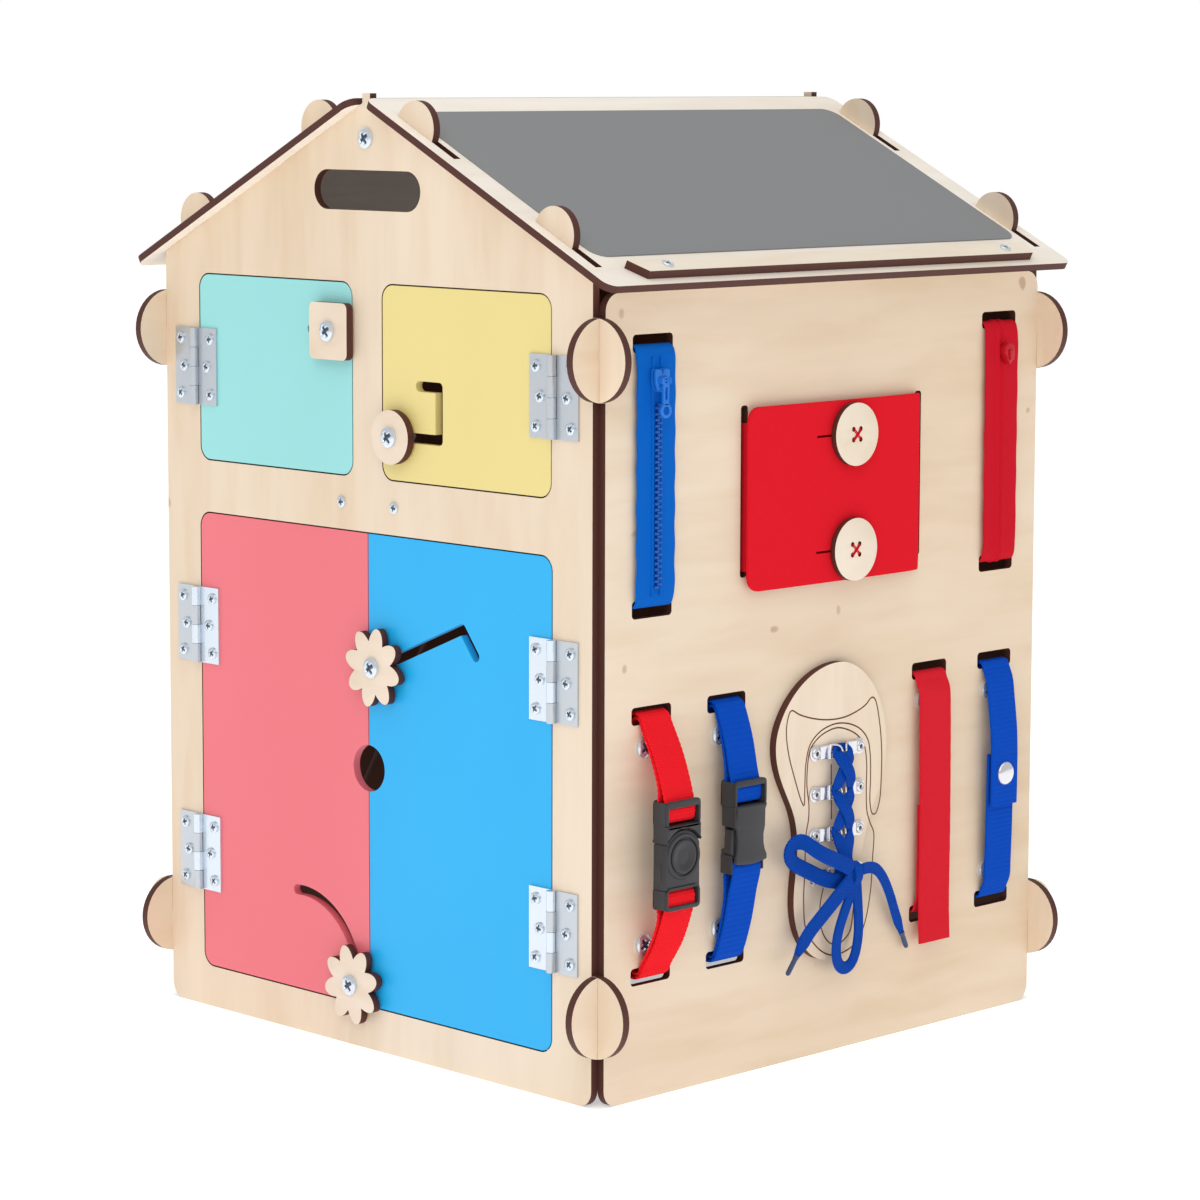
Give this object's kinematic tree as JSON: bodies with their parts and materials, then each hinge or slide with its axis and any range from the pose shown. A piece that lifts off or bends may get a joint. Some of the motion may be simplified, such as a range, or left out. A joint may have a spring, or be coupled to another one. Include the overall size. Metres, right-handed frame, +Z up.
{
  "type": "wooden busy board house",
  "caption": "House-shaped plywood busy board with latched doors, zips, buckles, buttoned flap, lacing shoe and a chalkboard roof.",
  "frame": {"origin": "bottom middle of the object's outline: on the floor, midway between the left tabs and the face of the red strap's buckle, 1.95 mm right of the ridge", "axes": "+X to the right of the door front, the door front faces -Y, +Z up"},
  "size_m": [0.3466, 0.3426, 0.4562],
  "materials": {
    "black_plastic": "moulded black plastic",
    "blue_paint": "plywood painted satin blue",
    "blue_plastic": "blue enamelled zip slider",
    "blue_webbing": "woven blue webbing",
    "button_wood": "smooth pale wooden button",
    "chalkboard": "matte grey chalkboard film",
    "felt_red": "red felt",
    "pink_paint": "plywood painted satin pink",
    "plywood": "light birch plywood with scorched cut edges",
    "red_plastic": "red enamelled zip slider",
    "red_webbing": "woven red webbing",
    "turquoise_paint": "plywood painted satin turquoise",
    "yellow_paint": "plywood painted satin yellow",
    "zinc": "bright zinc-plated steel",
    "zip_blue": "blue zip tape with plastic teeth",
    "zip_red": "red zip tape"
  },
  "bodies": {
    "house": {"back_panel": "plywood", "blue_strap_buckle_plug": "black_plastic", "blue_strap_buckle_socket": "black_plastic", "blue_webbing": "blue_webbing", "blue_zip": "zip_blue", "button_strip": "felt_red", "chalk_ledge": "plywood", "chalkboard": "chalkboard", "door_stop": "plywood", "felt_flap": "felt_red", "frame_screws": "zinc", "front_panel": "plywood", "hinge_frame_leaves": "zinc", "hinge_pins": "zinc", "hook_loop_strap": "red_webbing", "lace_bow_left": "blue_webbing", "lace_bow_lower": "blue_webbing", "lace_loops": "zinc", "lace_tail_left": "blue_webbing", "lace_tail_right": "blue_webbing", "lace_tips": "blue_webbing", "left_roof": "plywood", "left_wall": "plywood", "panel_bolts": "zinc", "panel_nuts": "zinc", "press_stud": "zinc", "red_strap_buckle_plug": "black_plastic", "red_strap_buckle_socket": "black_plastic", "red_webbing": "red_webbing", "red_zip": "zip_red", "right_roof": "plywood", "right_wall": "plywood", "shoe_board": "plywood", "shoe_lace": "blue_webbing", "snap_straps": "blue_webbing", "wooden_buttons": "button_wood"},
    "turquoise_door": {"turquoise_door": "turquoise_paint", "turquoise_hinge_leaf": "zinc", "turquoise_door_screws": "zinc"},
    "yellow_door": {"yellow_door": "yellow_paint", "yellow_hinge_leaf": "zinc", "yellow_door_screws": "zinc"},
    "pink_door": {"pink_door": "pink_paint", "pink_hinge_leaf": "zinc", "pink_door_screws": "zinc"},
    "blue_door": {"blue_door": "blue_paint", "blue_hinge_leaf": "zinc", "blue_door_screws": "zinc"},
    "square_knob": {"square_knob": "plywood", "square_knob_fixings": "zinc"},
    "round_knob": {"round_knob": "plywood", "round_knob_fixings": "zinc"},
    "blue_flower": {"blue_door_flower": "plywood", "blue_flower_fixings": "zinc"},
    "pink_flower": {"pink_door_flower": "plywood", "pink_flower_fixings": "zinc"},
    "blue_zip_slider": {"blue_zip_slider": "blue_plastic"},
    "blue_zip_pull": {"blue_zip_pull": "blue_plastic"},
    "red_zip_slider": {"red_zip_slider": "red_plastic"},
    "buckle_button": {"red_strap_buckle_button": "black_plastic"}
  },
  "joints": [
    {"name": "turquoise_door_hinge", "type": "hinge", "parent": "house", "child": "turquoise_door", "pos_m": [-0.12895, -0.1572, 0.3218], "axis": [0, 0, -1], "range_deg": [0, 110]},
    {"name": "yellow_door_hinge", "type": "hinge", "parent": "house", "child": "yellow_door", "pos_m": [0.12505, -0.1572, 0.3218], "axis": [0, 0, 1], "range_deg": [0, 110]},
    {"name": "blue_door_hinge", "type": "hinge", "parent": "house", "child": "blue_door", "pos_m": [0.12505, -0.1572, 0.1358], "axis": [0, 0, 1], "range_deg": [0, 110]},
    {"name": "pink_door_hinge", "type": "hinge", "parent": "house", "child": "pink_door", "pos_m": [-0.12895, -0.1572, 0.1358], "axis": [0, 0, -1], "range_deg": [0, 110]},
    {"name": "square_knob_slide", "type": "slide", "parent": "turquoise_door", "child": "square_knob", "axis": [-1, 0, 0], "range_m": [0, 0.0185]},
    {"name": "round_knob_slide", "type": "slide", "parent": "yellow_door", "child": "round_knob", "axis": [1, 0, 0], "range_m": [0, 0.0284]},
    {"name": "blue_flower_slide", "type": "slide", "parent": "blue_door", "child": "blue_flower", "axis": [0.9225, 0, 0.3859], "range_m": [0, 0.0617]},
    {"name": "pink_flower_swing", "type": "hinge", "parent": "pink_door", "child": "pink_flower", "pos_m": [-0.05145, -0.155, 0.0285], "axis": [0, -1, 0], "range_deg": [0, 92]},
    {"name": "blue_zip_slide", "type": "slide", "parent": "house", "child": "blue_zip_slider", "axis": [0, 0, -1], "range_m": [0, 0.084]},
    {"name": "blue_zip_pull_swing", "type": "hinge", "parent": "blue_zip_slider", "child": "blue_zip_pull", "pos_m": [0.1611, -0.1212, 0.3295], "axis": [0, -1, 0], "range_deg": [0, 100]},
    {"name": "red_zip_slide", "type": "slide", "parent": "house", "child": "red_zip_slider", "axis": [0, 0, -1], "range_m": [0, 0.084]},
    {"name": "buckle_button_press", "type": "slide", "parent": "house", "child": "buckle_button", "axis": [-1, 0, 0], "range_m": [0, 0.0016], "stiffness_N_per_m": 300}
  ],
  "couplings": [
    {"joint": "pink_door_hinge", "follows": "blue_door_hinge", "ratio": 1}
  ]
}
